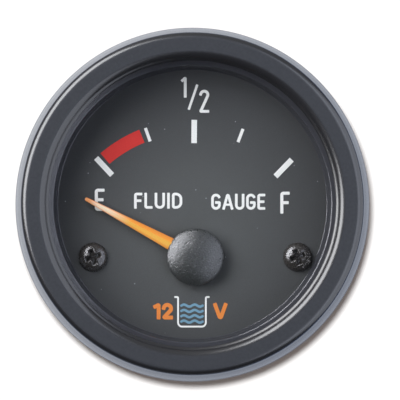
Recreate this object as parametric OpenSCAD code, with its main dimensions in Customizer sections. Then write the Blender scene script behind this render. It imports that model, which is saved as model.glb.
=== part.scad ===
// Electric fluid level gauge for a round panel hole, dial to the front (-Y), top up (+Z).
// The origin is on the gauge's axis, in the plane where the panel seal meets the panel.
// Each piece is drawn with x right, y up and z towards the viewer, and turned into place by facing().

/* [Case] */
// Diameter of the case where it passes through the panel
spigot_d = 51.8; // [51:0.1:53]
// Depth of the case behind the panel
case_depth = 40; // [38:1:60]
// Thickness of the case wall
case_wall = 2.4; // [2:0.1:2.8]
// Thickness of the case floor
floor_t = 2; // [1.5:0.1:3]
// Thickness of the case's mouth, in front of the ledge that carries the movement
mouth_wall = 1.4; // [1.1:0.05:1.5]
// Thickness of the flange that the bezel is spun over
flange_t = 1; // [0.8:0.1:1.6]
// Chamfer round the case's back edge
case_chamfer = 1; // [0.4:0.1:1.5]

/* [Bezel] */
// How far the bezel reaches beyond the case all round
bezel_overhang = 4.1; // [3.9:0.1:7]
// Sheet thickness of the bezel
bezel_t = 0.8; // [0.6:0.1:0.9]
// How far the bezel's flank leans inwards from back to front
flank_lean = 1.45; // [0.8:0.05:1.6]
// Depth of the sloping rim between the flat face and the glass
rim_h = 2.4; // [1.8:0.1:3.5]
// Width of the rim from the flat face to the window, seen from the front
rim_w = 1.45; // [1.2:0.05:1.8]
// Rounding where the flat face turns down into the rim
rim_round = 1; // [0.5:0.1:1.1]
// Radius of the bead round the window, at the foot of the rim
bead_r = 0.27; // [0.15:0.01:0.35]
// Rounding where the flat face turns into the flank
edge_round = 1.2; // [0.4:0.1:1.3]
// Clear diameter of the window inside the bezel
window_d = 48.3; // [47:0.1:49]

/* [Glass and seals] */
// Thickness of the glass
lens_t = 1.8; // [1.2:0.1:2.5]
// Thickness of the rubber ring under the glass
lens_seal_t = 1; // [0.6:0.1:1.5]
// Thickness of the rubber ring between the bezel and the panel
panel_seal_t = 1; // [0.5:0.1:2]

/* [Dial] */
// Gap between the glass and the dial
dial_gap = 3.3; // [3.2:0.1:4.5]
// Thickness of the dial plate
dial_t = 0.8; // [0.5:0.1:1]
// Width of the dial ring's top that shows inside the bezel
ring_show = 0.8; // [0.5:0.05:1]
// How far the dial ring's wall leans inwards towards the dial
ring_lean = 0.6; // [0.3:0.05:1.2]
// Rounding of the dial ring's inner edge
ring_round = 0.35; // [0.1:0.05:0.5]
// Distance of the pointer's axis below the dial's centre
pivot_drop = 8.95; // [8:0.05:10]
// Distance of the pointer's axis and the screws to the right of the case's centre, as photographed
pivot_aside = 0.5; // [0:0.05:0.6]
// Distance from the pointer's axis to each dial screw
screw_offset = 17.3; // [17:0.1:18]

/* [Scale] */
// Distance of the printed arc's centre below the pointer's axis
arc_drop = 0.8; // [0:0.1:2]
// Radius of the printed arc's outer edge
arc_r = 24.05; // [22:0.05:25]
// Length of the long marks at empty, half and full
long_mark = 3.95; // [3:0.05:5]
// Length of the short marks at the quarters
short_mark = 2.4; // [1.5:0.1:3]
// Width of the long marks
long_mark_w = 0.94; // [0.5:0.02:1.2]
// Width of the short marks
short_mark_w = 0.52; // [0.3:0.02:0.8]
// Clockwise turn of the printed scale, which sits a little askew
print_turn = 0.5; // [-1:0.1:1]
// Distance of the printed arc's centre to the left of the pointer's axis
print_shift = 0.39; // [-0.5:0.01:0.5]
// Angle of the empty and full marks from the half mark
end_angle = 43.5; // [35:0.1:48]
// Angle of the quarter marks from the half mark
quarter_angle = 20.1; // [15:0.1:24]
// Width of the red low level band
band_w = 2.35; // [1:0.05:3]
// Thickness of the printed ink
ink_t = 0.06; // [0.04:0.01:0.15]

/* [Pointer] */
// Length of the pointer from its axis to its tip
pointer_l = 21.1; // [18:0.1:22]
// Width of the pointer where it leaves the hub cap
pointer_w = 2.1; // [1.2:0.1:2.6]
// Width of the pointer at its tip
tip_w = 0.6; // [0.3:0.05:0.8]
// Angle of the resting pointer from straight up, towards empty
rest_angle = 62; // [50:1:70]
// Diameter of the hub cap
cap_d = 9.6; // [8.8:0.1:12]

/* [Movement] */
// Diameter of the spindle
spindle_d = 1; // [0.8:0.1:1.4]
// Diameter of the magnet on the spindle
rotor_d = 10; // [8:0.5:10.5]
// Thickness of the magnet on the spindle
rotor_t = 3.2; // [2:0.1:3.6]
// Outer diameter of the coil former
former_d = 14.4; // [14.2:0.2:15]
// Width of each coil's winding
coil_w = 8; // [6:0.5:8]
// Thickness of each coil's winding
coil_t = 1.6; // [1:0.1:1.8]
// Outer diameter of the steel shield round the coils
shield_d = 23.2; // [23:0.1:24]
// Height of the steel shield
shield_h = 19; // [16:1:20]
// Thickness of the plate that carries the movement
frame_t = 2.2; // [1.8:0.1:3]
// Thickness of the circuit board
board_t = 1.6; // [1:0.1:2]

/* [Clamp] */
// Distance between the two mounting studs
stud_pitch = 32; // [30:0.5:33]
// Thread diameter of the mounting studs
stud_d = 4; // [3:0.5:4]
// Length of each stud behind the case
stud_l = 26; // [26:1:40]
// Width of the clamp strip
clamp_w = 14; // [10:0.5:14]
// Thickness of the clamp strip
clamp_t = 1.5; // [1:0.1:2]
// Length of the clamp's legs, from the web to the feet
leg_l = 44; // [43:1:60]
// Panel thickness that the clamp is set for
panel_t = 8; // [7:0.5:10]
// Diameter of the thumb nuts
thumb_d = 12; // [10:0.5:14]
// Height of the thumb nuts
thumb_h = 7; // [5:0.5:8]

/* [Terminals] */
// Width of the push-on terminal blades
blade_w = 6.3; // [4.8:0.1:6.3]
// Thickness of the blades
blade_t = 0.8; // [0.5:0.1:1]
// Length of the blades behind their feet
blade_l = 9; // [7:0.5:12]

/* [Lamp] */
// Diameter of the lamp's hole in the case floor
lamp_hole_d = 12.6; // [12.2:0.1:13]
// Distance of the lamp above the gauge's axis
lamp_rise = 15.5; // [15:0.1:16]
// Diameter of the bulb
bulb_d = 8.8; // [7:0.1:9.2]
// Length of the bulb's glass in front of its holder
bulb_l = 16; // [10:1:20]

/* [Hidden] */
$fn = 96;

// clearances
push_fit = 0.02;    // pieces pushed onto the spindle
snug = 0.05;        // running fit of shafts and of pieces that drop into each other
loose = 0.2;        // free fit of glass, seals and plates in their seats

// heights along the axis, from the panel forwards
bezel_back = panel_seal_t;
flange_z = bezel_back + bezel_t;
flange_top = flange_z + flange_t;
lens_z = flange_top + lens_seal_t;
lip_z = lens_z + lens_t;
front_z = lip_z + rim_h;
dial_z = lens_z - dial_gap;
frame_top = dial_z - dial_t;
ledge_z = frame_top - frame_t;
floor_z = -case_depth;
floor_top = floor_z + floor_t;

// radii, from the case outwards and inwards
spigot_r = spigot_d / 2;
neck_step = 0.4;
neck_r = spigot_r + neck_step;
neck_z = 0.3;
mouth_r = spigot_r - mouth_wall;
bore_r = spigot_r - case_wall;
bezel_r = spigot_r + bezel_overhang;
shoulder_r = bezel_r - flank_lean;
window_r = window_d / 2;
face_r = window_r + rim_w;
ring_top_r = window_r - ring_show;
dial_r = ring_top_r - ring_lean;
plate_r = mouth_r - loose;
ring_seat_r = mouth_r + 0.7;
crimp_r = neck_r + neck_step;
lens_seat_w = 2.1;
lens_r = mouth_r + lens_seat_w;
wall_gap = 0.25;
seal_inset = 0.5;

// the flank's outer radius at a height
function flank_r(z) = bezel_r - flank_lean * (z - bezel_back) / (front_z - bezel_back);

// pointer and dial screws
cap_r = cap_d / 2;
cap_wall = 0.7;
cap_clear = 0.4;
cap_z = dial_z + cap_clear;
cap_top = lens_z - cap_clear;
cap_skirt_h = 1.3;
cap_skirt_z = cap_z + cap_skirt_h;
weight_t = 0.55;
weight_z = cap_z;
arm_z = weight_z + weight_t;
arm_h = 0.5;
ridge_h = 0.85;
ridge_shift = -0.2;
arm_top = arm_z + arm_h;
disc_inset = 0.9;
arm_disc_r = cap_r - cap_wall - disc_inset;
cavity_clear = 0.1;
cavity_top = arm_z + ridge_h + cavity_clear;
slot_clear = 0.25;
spindle_r = spindle_d / 2;
spindle_end = 0.3;
spindle_top = cavity_top + spindle_end;
weight_gap = 0.15;
weight_bore_gap = 0.4;
cap_boss_wall = 0.9;
cap_boss_r = spindle_r + cap_boss_wall;
spindle_room = 1.1;
spindle_hole_r = spindle_r + spindle_room;
screw_r = 1.25;
screw_head_r = 2.45;
screw_head_h = 1.5;
screw_l = 7.5;
recess_w = 0.75;
recess_l = 2.7;
recess_depth = 0.9;

// movement, measured from the coil former's middle
former_r = former_d / 2;
rotor_r = rotor_d / 2;
rotor_gap = 0.6;
chamber_r = rotor_r + rotor_gap;
chamber_h = rotor_t / 2 + rotor_gap;
former_end_t = 2.5;
former_h = chamber_h + former_end_t;
coil_slack = 0.1;
inner_x = former_r + coil_slack;
inner_z = former_h;
outer_y = inner_x + coil_slack;
outer_z = inner_z + coil_t + coil_slack;
coil_top = outer_z + coil_t;
coil_room = 1.5;
former_z = ledge_z - coil_room - coil_top;
post_r = 1.1;
post_at = coil_w / 2 + post_r + coil_slack;
foot_gap = 0.1;
foot_depth = 0.4;
tower_r = 2.2;
shield_r = shield_d / 2;
shield_wall = 0.6;
pin_r = 0.4;
return_r = 0.5;
return_h = 3;
return_depth = 3.2;

// circuit board and terminals
resistor_r = 1.6;
lead_lift = 0.2;
board_gap = 0.5;
board_z = min(former_z - coil_top, ledge_z - shield_h) - board_gap - lead_lift - 2 * resistor_r - board_t;
board_edge = 1.1;
board_r = bore_r - board_edge;
pin_tail = 1;
lamp_light_gap = 1.4;
resistor_y = 3;
resistor_l = 8;
lead_l = 2;
lead_r = 0.35;
terminal_x = 10.5;
terminal_y = -14.5;
ground_y = -19;
post_spacer_r = 2.2;
rivet_r = 1.5;
rivet_head_r = 2.5;
rivet_head_h = 0.8;
foot_l = 7;
boss_h = 0.8;

// clamp
stud_r = stud_d / 2;
stud_x = stud_pitch / 2;
stud_hole_r = stud_r + snug;
stud_end = floor_z - stud_l;
stud_head_r = 1.8 * stud_r;
stud_head_h = 2;
washer_r = 4.5;
washer_t = 0.8;
hex_af = 7;
hex_h = 3.2;
leg_gap = 1.4;
leg_in = spigot_r + leg_gap;
leg_out = leg_in + clamp_t;
feet_z = -panel_t;
web_z = feet_z - leg_l;
web_back = web_z - clamp_t;
bend_r = 1.5;
bend_out = bend_r + clamp_t;
prong_r = 2.5;
spring_t = 0.9;
spring_r = 3.6;
thumb_z = web_back - spring_t;
thumb_r = thumb_d / 2;
thumb_neck_h = 2;
flute_count = 24;
flute_r = 0.45;

// lamp
lamp_hole_r = lamp_hole_d / 2;
collar_h = 1;
collar_z = floor_z - collar_h;
sleeve_r = lamp_hole_r - 0.08;
sleeve_wall = 1.2;
sleeve_top = floor_top + 5;
lamp_flange_r = sleeve_r + 1.38;
lamp_flange_t = 1.6;
grip_z = collar_z - lamp_flange_t;
grip_h = 7;
grip_r = 5;
wing_t = 3.6;
bulb_r = bulb_d / 2;
contact_w = 2.8;
contact_t = 0.5;
contact_x = 3.2;
contact_l = 6.5;
wedge_t = 2.4;
wedge_h = 5;

// the gauge's frame turned so that its front looks along -Y
module facing() { rotate([90, 0, 0]) children(); }

// a place on the pointer's axis
module at_pivot() { translate([pivot_aside, -pivot_drop, 0]) children(); }

// both dial screws
module at_screws() { at_pivot() for (side = [-1, 1]) translate([side * screw_offset, 0, 0]) children(); }

// both studs
module at_studs() { for (side = [-1, 1]) translate([side * stud_x, 0, 0]) children(); }

// where the three terminals stand: plus, sender, ground
terminal_places = [[terminal_x, terminal_y], [-terminal_x, terminal_y], [0, ground_y]];

// a tube standing on z
module tube(r_out, r_in, z, h) {
    translate([0, 0, z])
        difference() {
            cylinder(r = r_out, h = h);
            translate([0, 0, -1]) cylinder(r = r_in, h = h + 2);
        }
}

// points along an arc in the profile plane
function arc(cx, cy, r, from, to, steps = 6) =
    [for (i = [0:steps]) let (a = from + (to - from) * i / steps) [cx + r * cos(a), cy + r * sin(a)]];

// the profile of the spun bezel, from the crimp round the outside to the lip
module bezel_profile() {
    back_round = 0.35;
    rim_end = 157;
    bead_lift = 0.06;
    rim_inside = face_r + rim_round * cos(rim_end) + bezel_t;
    inside_top = front_z - bezel_t;
    edge_z = front_z - edge_round;
    flank_angle = atan(flank_lean / (front_z - bezel_back));
    polygon(concat(
        [[crimp_r, bezel_back]],
        arc(bezel_r - back_round, bezel_back + back_round, back_round, -90, flank_angle),
        arc(flank_r(edge_z) - edge_round, edge_z, edge_round, flank_angle, 90, 14),
        arc(face_r, front_z - rim_round, rim_round, 90, rim_end, 10),
        arc(window_r + bead_r, lip_z + bead_r + bead_lift, bead_r, 20, 180),
        [[window_r + bead_lift, lip_z], [rim_inside, lip_z], [rim_inside, inside_top - bezel_t / 2]],
        [[rim_inside + bezel_t / 2, inside_top], [flank_r(inside_top) - bezel_t - 0.2, inside_top]],
        [[flank_r(flange_z) - bezel_t, flange_z], [crimp_r, flange_z]]
    ));
}

module bezel() {
    color([0.16, 0.16, 0.18]) facing() rotate_extrude() bezel_profile();
}

module lens() {
    edge = 0.2;
    color([0.85, 0.9, 0.92, 0.3]) facing() translate([0, 0, lens_z]) {
        rotate_extrude()
            polygon([[0, 0], [lens_r - edge, 0], [lens_r, edge], [lens_r, lens_t - edge],
                     [lens_r - edge, lens_t], [0, lens_t]]);
    }
}

module lens_seal() {
    color([0.08, 0.08, 0.08]) facing() tube(lens_r, ring_seat_r + 0.1, flange_top, lens_seal_t);
}

// glossy ring between the glass and the dial
module dial_ring() {
    color([0.07, 0.07, 0.08]) facing()
        rotate_extrude()
            polygon(concat(
                [[dial_r, dial_z], [plate_r, dial_z], [plate_r, flange_top], [ring_seat_r, flange_top]],
                [[ring_seat_r, lens_z]],
                arc(ring_top_r + ring_round, lens_z - ring_round, ring_round, 90, 168)));
}

module dial_plate() {
    color([0.2, 0.21, 0.22]) facing()
        difference() {
            translate([0, 0, frame_top]) cylinder(r = plate_r, h = dial_t);
            at_pivot() translate([0, 0, frame_top - 1]) cylinder(r = spindle_hole_r, h = dial_t + 2);
            at_screws() translate([0, 0, frame_top - 1]) cylinder(r = screw_r + snug, h = dial_t + 2);
        }
}

// a place on the printed arc, at an angle from the half mark
module on_arc(angle) {
    translate([pivot_aside - print_shift, -pivot_drop - arc_drop, dial_z])
        rotate([0, 0, -angle - print_turn]) children();
}

module mark(angle, length, width) {
    on_arc(angle) translate([-width / 2, arc_r - length, 0]) cube([width, length, ink_t]);
}

module scale_marks() {
    color([0.9, 0.92, 0.94]) facing() {
        for (angle = [-end_angle, 0, end_angle]) mark(angle, long_mark, long_mark_w);
        for (angle = [-quarter_angle, quarter_angle]) mark(angle, short_mark, short_mark_w);
    }
}

// red band between the empty mark and the first quarter
module low_zone() {
    gap = 2.55;
    sweep = end_angle - quarter_angle - 2 * gap;
    color([0.75, 0.22, 0.2]) facing() on_arc(-quarter_angle - gap)
        rotate([0, 0, 90])
            rotate_extrude(angle = sweep) translate([arc_r - band_w + 0.1, 0]) square([band_w, ink_t]);
}

module dial_screws() {
    side_h = screw_head_h - 0.85;
    crown_h = screw_head_h - side_h;
    color([0.12, 0.12, 0.12]) facing() at_screws() translate([0, 0, dial_z])
        difference() {
            rotate_extrude()
                polygon(concat([[0, -screw_l], [screw_r, -screw_l], [screw_r, 0], [screw_head_r, 0]],
                               arc(screw_head_r - crown_h, side_h, crown_h, 0, 90), [[0, screw_head_h]]));
            for (turn = [20, 110])
                rotate([0, 0, turn])
                    translate([-recess_l / 2, -recess_w / 2, screw_head_h - recess_depth])
                        cube([recess_l, recess_w, recess_depth + 1]);
        }
}

// direction of the resting pointer, anticlockwise from the x axis
rest_turn = 90 + rest_angle;

// tapered arm with a ridge along its top, on a disc that sits on the spindle
module pointer() {
    root = arm_disc_r - 1;
    taper = (pointer_w - tip_w) / (pointer_l - cap_r);
    root_w = pointer_w + taper * (cap_r - root);
    stations = [[root, root_w], [pointer_l - tip_w / 2, tip_w], [pointer_l - tip_w / 7, tip_w * 0.7],
                [pointer_l, tip_w * 0.3]];
    count = len(stations);
    rise = ridge_h - arm_h;
    points = [for (s = stations) let (x = s[0], half = s[1] / 2, k = s[1] / pointer_w)
        each [[x, -half, 0], [x, half, 0], [x, half, arm_h],
              [x, ridge_shift * k, arm_h + rise * k], [x, -half, arm_h]]];
    sides = [for (s = [0:count - 2], i = [0:4]) let (a = 5 * s + i, b = 5 * s + (i + 1) % 5)
        each [[a, a + 5, b], [b, a + 5, b + 5]]];
    ends = [[0, 1, 2], [0, 2, 3], [0, 3, 4], [for (i = [2, 1, 0]) 5 * (count - 1) + i],
            [for (i = [3, 2, 0]) 5 * (count - 1) + i], [for (i = [4, 3, 0]) 5 * (count - 1) + i]];
    color([0.95, 0.6, 0.2]) facing() at_pivot() translate([0, 0, arm_z])
        difference() {
            union() {
                rotate([0, 0, rest_turn]) polyhedron(points = points, faces = concat(sides, ends));
                cylinder(r = arm_disc_r, h = arm_h);
            }
            translate([0, 0, -1]) cylinder(r = spindle_r + push_fit, h = arm_h + 2);
        }
}

module hub_cap() {
    rise = cap_top - cap_skirt_z;
    crown_r = (cap_r * cap_r + rise * rise) / (2 * rise);
    crown_angle = asin(cap_r / crown_r);
    slot_w = pointer_w + 2 * slot_clear;
    color([0.17, 0.17, 0.18]) facing() at_pivot()
        difference() {
            rotate_extrude()
                polygon(concat([[0, cap_z], [cap_r, cap_z]],
                               arc(0, cap_top - crown_r, crown_r, 90 - crown_angle, 90, 8)));
            translate([0, 0, cap_z - 1]) cylinder(r = cap_r - cap_wall, h = arm_top - cap_z + 1);
            tube(cap_r - cap_wall, cap_boss_r, cap_z - 1, cavity_top - cap_z + 1);
            translate([0, 0, cap_z - 1])
                cylinder(r = spindle_r + push_fit, h = spindle_top + cavity_clear - cap_z + 1);
            rotate([0, 0, rest_turn])
                translate([cap_boss_r, -slot_w / 2, cap_z - 1])
                    cube([cap_r, slot_w, cavity_top - cap_z + 1]);
        }
}

// half-round weight opposite the arm, under the pointer's disc
module balance_weight() {
    weight_in = spindle_r + weight_bore_gap;
    weight_out = cap_r - cap_wall - weight_gap;
    color([0.75, 0.65, 0.4]) facing() at_pivot() translate([0, 0, weight_z])
        rotate([0, 0, rest_turn + 105])
            rotate_extrude(angle = 150) translate([weight_in, 0]) square([weight_out - weight_in, weight_t]);
}

module spindle() {
    foot_z = former_z - former_h + foot_depth + foot_gap;
    color([0.75, 0.75, 0.78]) facing() at_pivot()
        translate([0, 0, foot_z]) cylinder(r = spindle_r, h = spindle_top - foot_z);
}

module rotor_magnet() {
    color([0.3, 0.3, 0.32]) facing() at_pivot()
        tube(rotor_r, spindle_r + push_fit, former_z - rotor_t / 2, rotor_t);
}

// where the former's four corner posts stand
module at_posts() {
    for (x = [-1, 1], y = [-1, 1]) translate([x * post_at, y * post_at, 0]) children();
}

module bobbin_front() {
    color([0.85, 0.82, 0.72]) facing() at_pivot()
        difference() {
            union() {
                translate([0, 0, former_z]) cylinder(r = former_r, h = former_h);
                translate([0, 0, former_z]) cylinder(r = tower_r, h = ledge_z - former_z);
                at_posts() translate([0, 0, former_z + former_h - 1])
                    cylinder(r = post_r, h = ledge_z - former_z - former_h + 1);
            }
            translate([0, 0, former_z - 1]) cylinder(r = chamber_r, h = chamber_h + 1);
            translate([0, 0, former_z]) cylinder(r = spindle_r + snug, h = ledge_z - former_z + 1);
        }
}

module bobbin_rear() {
    wall_mid = (former_r + chamber_r) / 2;
    color([0.85, 0.82, 0.72]) facing() at_pivot()
        difference() {
            union() {
                translate([0, 0, former_z - former_h]) cylinder(r = former_r, h = former_h);
                at_posts() translate([0, 0, former_z - coil_top])
                    cylinder(r = post_r, h = coil_top - former_h + 1);
            }
            translate([0, 0, former_z - chamber_h]) cylinder(r = chamber_r, h = chamber_h + 1);
            translate([0, 0, former_z - former_h + foot_depth]) cylinder(r = spindle_r + snug, h = former_h);
            translate([0, -wall_mid, former_z - return_depth])
                cylinder(r = return_r + snug, h = return_depth + 1);
        }
}

// small magnet in the former's wall, which draws the rotor to its stop when the current is off
module return_magnet() {
    wall_mid = (former_r + chamber_r) / 2;
    color([0.35, 0.35, 0.38]) facing() at_pivot()
        translate([0, -wall_mid, former_z - return_depth]) cylinder(r = return_r, h = return_h);
}

// one rectangular winding round the former: half sizes of its inside, and its window for the tower
module winding(half_x, half_z) {
    difference() {
        translate([-half_x - coil_t, -coil_w / 2, -half_z - coil_t])
            cube([2 * (half_x + coil_t), coil_w, 2 * (half_z + coil_t)]);
        translate([-half_x, -coil_w, -half_z]) cube([2 * half_x, 2 * coil_w, 2 * half_z]);
        translate([0, 0, -coil_top - 1]) cylinder(r = tower_r + loose, h = 2 * coil_top + 2);
    }
}

module inner_coil() {
    color([0.75, 0.4, 0.2]) facing() at_pivot() translate([0, 0, former_z]) winding(inner_x, inner_z);
}

module outer_coil() {
    color([0.8, 0.45, 0.22]) facing() at_pivot() translate([0, 0, former_z])
        rotate([0, 0, 90]) winding(outer_y, outer_z);
}

module shield_ring() {
    color([0.6, 0.6, 0.62]) facing() at_pivot()
        tube(shield_r, shield_r - shield_wall, ledge_z - shield_h, shield_h);
}

// four pins that carry the coils' ends to the circuit board
module coil_pins() {
    color([0.85, 0.75, 0.45]) facing() at_pivot() at_posts()
        translate([0, 0, board_z - pin_tail])
            cylinder(r = pin_r, h = former_z - coil_top - board_z + pin_tail);
}

// white plate under the dial, with light windows along the scale and bosses for the dial screws
module movement_frame() {
    boss_l = screw_l - dial_t - frame_t + 1;
    window_count = 5;
    window_w = 4;
    window_h = 6;
    color([0.92, 0.92, 0.9]) facing()
        difference() {
            union() {
                translate([0, 0, ledge_z]) cylinder(r = plate_r, h = frame_t);
                at_screws() translate([0, 0, ledge_z - boss_l]) cylinder(r = screw_r + 1.5, h = boss_l);
            }
            at_pivot() translate([0, 0, ledge_z - 1]) cylinder(r = spindle_hole_r, h = frame_t + 2);
            at_screws() translate([0, 0, ledge_z - boss_l - 1])
                cylinder(r = screw_r + snug, h = boss_l + frame_t + 2);
            for (i = [0:window_count - 1])
                translate([pivot_aside, -pivot_drop - arc_drop, ledge_z - 1])
                    rotate([0, 0, -end_angle + i * 2 * end_angle / (window_count - 1)])
                        translate([-window_w / 2, arc_r - window_h, 0])
                            cube([window_w, window_h, frame_t + 2]);
        }
}

module circuit_board() {
    color([0.1, 0.4, 0.2]) facing()
        difference() {
            translate([0, 0, board_z]) cylinder(r = board_r, h = board_t);
            translate([0, lamp_rise, board_z - 1]) cylinder(r = bulb_r + lamp_light_gap, h = board_t + 2);
            at_pivot() at_posts() translate([0, 0, board_z - 1]) cylinder(r = pin_r + snug, h = board_t + 2);
        }
}

module resistor() {
    lead_span = resistor_l + 2 * lead_l;
    rise = resistor_r + lead_lift;
    color([0.75, 0.68, 0.5]) facing() translate([0, resistor_y, board_z + board_t + rise])
        union() {
            translate([-resistor_l / 2, 0, 0]) rotate([0, 90, 0]) cylinder(r = resistor_r, h = resistor_l);
            translate([-lead_span / 2, 0, 0]) rotate([0, 90, 0]) cylinder(r = lead_r, h = lead_span);
            for (side = [-1, 1])
                translate([side * (lead_span / 2 - lead_r), 0, -rise]) cylinder(r = lead_r, h = rise);
        }
}

// cup with a flange for the bezel, a ledge for the movement and a floor with holes for what passes it
module case() {
    rim_r = lens_r + wall_gap;
    rim_out = rim_r + 0.8;
    flange_r = flank_r(flange_top) - bezel_t - wall_gap;
    rim_top = lens_z + lens_t * 0.6;
    color([0.13, 0.13, 0.14]) facing()
        difference() {
            union() {
                rotate_extrude()
                    polygon([[0, floor_z], [spigot_r - case_chamfer, floor_z],
                             [spigot_r, floor_z + case_chamfer], [spigot_r, neck_z], [neck_r, neck_z],
                             [neck_r, flange_z], [flange_r, flange_z], [flange_r, flange_top],
                             [rim_out, flange_top], [rim_out, rim_top], [rim_r, rim_top],
                             [rim_r, flange_top], [mouth_r, flange_top], [mouth_r, ledge_z],
                             [bore_r, ledge_z], [bore_r, floor_top], [0, floor_top]]);
                translate([0, lamp_rise, collar_z]) cylinder(r = lamp_flange_r, h = collar_h);
                at_studs() translate([0, 0, floor_z - boss_h]) cylinder(r = washer_r + 0.5, h = boss_h);
                for (place = terminal_places)
                    translate([place[0], place[1], floor_z - boss_h])
                        cylinder(r = rivet_head_r + 1.2, h = boss_h);
            }
            translate([0, lamp_rise, collar_z - 1]) cylinder(r = lamp_hole_r, h = floor_t + collar_h + 2);
            at_studs() translate([0, 0, floor_z - boss_h - 1])
                cylinder(r = stud_hole_r, h = floor_t + boss_h + 2);
            for (place = terminal_places)
                translate([place[0], place[1], floor_z - boss_h - 1])
                    cylinder(r = rivet_r + snug, h = floor_t + boss_h + 2);
        }
}

module panel_seal() {
    color([0.1, 0.1, 0.1]) facing() tube(bezel_r - seal_inset, neck_r + seal_inset, 0, panel_seal_t);
}

// brass angle: a foot on the case floor and an upright blade for a push-on connector
module terminal(place, turn) {
    foot_z = floor_z - boss_h - blade_t;
    half_w = blade_w / 2;
    tip = 1;
    color([0.85, 0.7, 0.35]) facing() translate([place[0], place[1], 0]) rotate([0, 0, turn])
        difference() {
            union() {
                translate([-half_w, -foot_l / 2, foot_z]) cube([blade_w, foot_l, blade_t]);
                translate([0, -foot_l / 2 + blade_t, 0]) rotate([90, 0, 0]) linear_extrude(blade_t)
                    polygon([[-half_w, foot_z + blade_t], [half_w, foot_z + blade_t],
                             [half_w, foot_z - blade_l + tip], [half_w - tip, foot_z - blade_l],
                             [-half_w + tip, foot_z - blade_l], [-half_w, foot_z - blade_l + tip]]);
            }
            translate([0, 0, foot_z - 1]) cylinder(r = rivet_r + snug, h = blade_t + 2);
            translate([0, 0, foot_z - blade_l / 2]) rotate([90, 0, 0]) cylinder(r = 0.9, h = foot_l);
        }
}

module terminal_plus() { terminal(terminal_places[0], 0); }

module terminal_sender() { terminal(terminal_places[1], 0); }

module terminal_ground() { terminal(terminal_places[2], 0); }

// rivets that hold the blades and stand up to the circuit board
module terminal_rivets() {
    foot_z = floor_z - boss_h - blade_t;
    head_z = foot_z - rivet_head_h;
    color([0.8, 0.78, 0.7]) facing()
        for (place = terminal_places) translate([place[0], place[1], 0])
            rotate_extrude()
                polygon([[0, head_z], [rivet_head_r - 0.4, head_z], [rivet_head_r, head_z + 0.4],
                         [rivet_head_r, foot_z], [rivet_r, foot_z], [rivet_r, floor_top],
                         [post_spacer_r, floor_top], [post_spacer_r, board_z], [0, board_z]]);
}

module mounting_studs() {
    point = 0.6;
    head_top = floor_top + stud_head_h;
    color([0.78, 0.79, 0.8]) facing() at_studs()
        rotate_extrude()
            polygon([[0, stud_end], [stud_r - point, stud_end], [stud_r, stud_end + point],
                     [stud_r, floor_top], [stud_head_r, floor_top], [stud_head_r, head_top], [0, head_top]]);
}

module stud_washers() {
    color([0.78, 0.79, 0.8]) facing() at_studs()
        tube(washer_r, stud_r + 0.15, floor_z - boss_h - washer_t, washer_t);
}

module stud_nuts() {
    corner_r = hex_af / 2 / cos(30);
    nut_z = floor_z - boss_h - washer_t - hex_h;
    color([0.78, 0.79, 0.8]) facing() at_studs() translate([0, 0, nut_z])
        difference() {
            intersection() {
                cylinder(r = corner_r, h = hex_h, $fn = 6);
                rotate_extrude()
                    polygon([[0, 0], [corner_r - 0.5, 0], [corner_r + 0.1, 0.4],
                             [corner_r + 0.1, hex_h - 0.4], [corner_r - 0.5, hex_h], [0, hex_h]]);
            }
            translate([0, 0, -1]) cylinder(r = stud_r + snug, h = hex_h + 2);
        }
}

// a rectangle of a half width and height whose two lower corners are round
module round_bottomed(half_w, low, r, h) {
    translate([-half_w + r, low]) square([2 * (half_w - r), h]);
    translate([-half_w, low + r]) square([2 * half_w, h - r]);
    for (side = [-1, 1]) translate([side * (half_w - r), low + r]) circle(r = r);
}

// the clamp's U in the x-z plane: web behind, legs to the front, rounded at both bends
module clamp_outline() {
    difference() {
        round_bottomed(leg_out, web_back, bend_out, feet_z - web_back);
        round_bottomed(leg_in, web_z, bend_r, leg_l + 1);
    }
}

module clamp_bracket() {
    color([0.7, 0.71, 0.72]) facing()
        difference() {
            translate([0, clamp_w / 2, 0]) rotate([90, 0, 0]) linear_extrude(clamp_w) clamp_outline();
            at_studs() translate([0, 0, web_back - 1]) cylinder(r = stud_r + 0.3, h = clamp_t + 2);
            translate([-leg_out - 1, 0, feet_z])
                rotate([0, 90, 0]) cylinder(r = prong_r, h = 2 * leg_out + 2);
        }
}

// split spring washers under the thumb nuts
module spring_washers() {
    split = 0.7;
    color([0.7, 0.71, 0.72]) facing() at_studs()
        difference() {
            tube(spring_r, stud_r + 0.15, thumb_z, spring_t);
            translate([0, -split / 2, thumb_z - 1]) cube([spring_r + 1, split, spring_t + 2]);
        }
}

// fluted thumb nut with a plain neck towards the clamp
module thumb_nut(side) {
    head_h = thumb_h - thumb_neck_h;
    neck_r = thumb_r - 2;
    bevel = 0.6;
    color([0.75, 0.76, 0.77]) facing() translate([side * stud_x, 0, thumb_z - thumb_h])
        difference() {
            rotate_extrude()
                polygon([[0, 0], [thumb_r - bevel, 0], [thumb_r, bevel], [thumb_r, head_h - bevel],
                         [thumb_r - bevel, head_h], [neck_r, head_h], [neck_r, thumb_h], [0, thumb_h]]);
            translate([0, 0, -1]) cylinder(r = stud_r + snug, h = thumb_h + 2);
            for (i = [0:flute_count - 1])
                rotate([0, 0, i * 360 / flute_count])
                    translate([thumb_r + 0.1, 0, -1]) cylinder(r = flute_r, h = head_h + 1);
        }
}

module thumb_nut_left() { thumb_nut(-1); }

module thumb_nut_right() { thumb_nut(1); }

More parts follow.
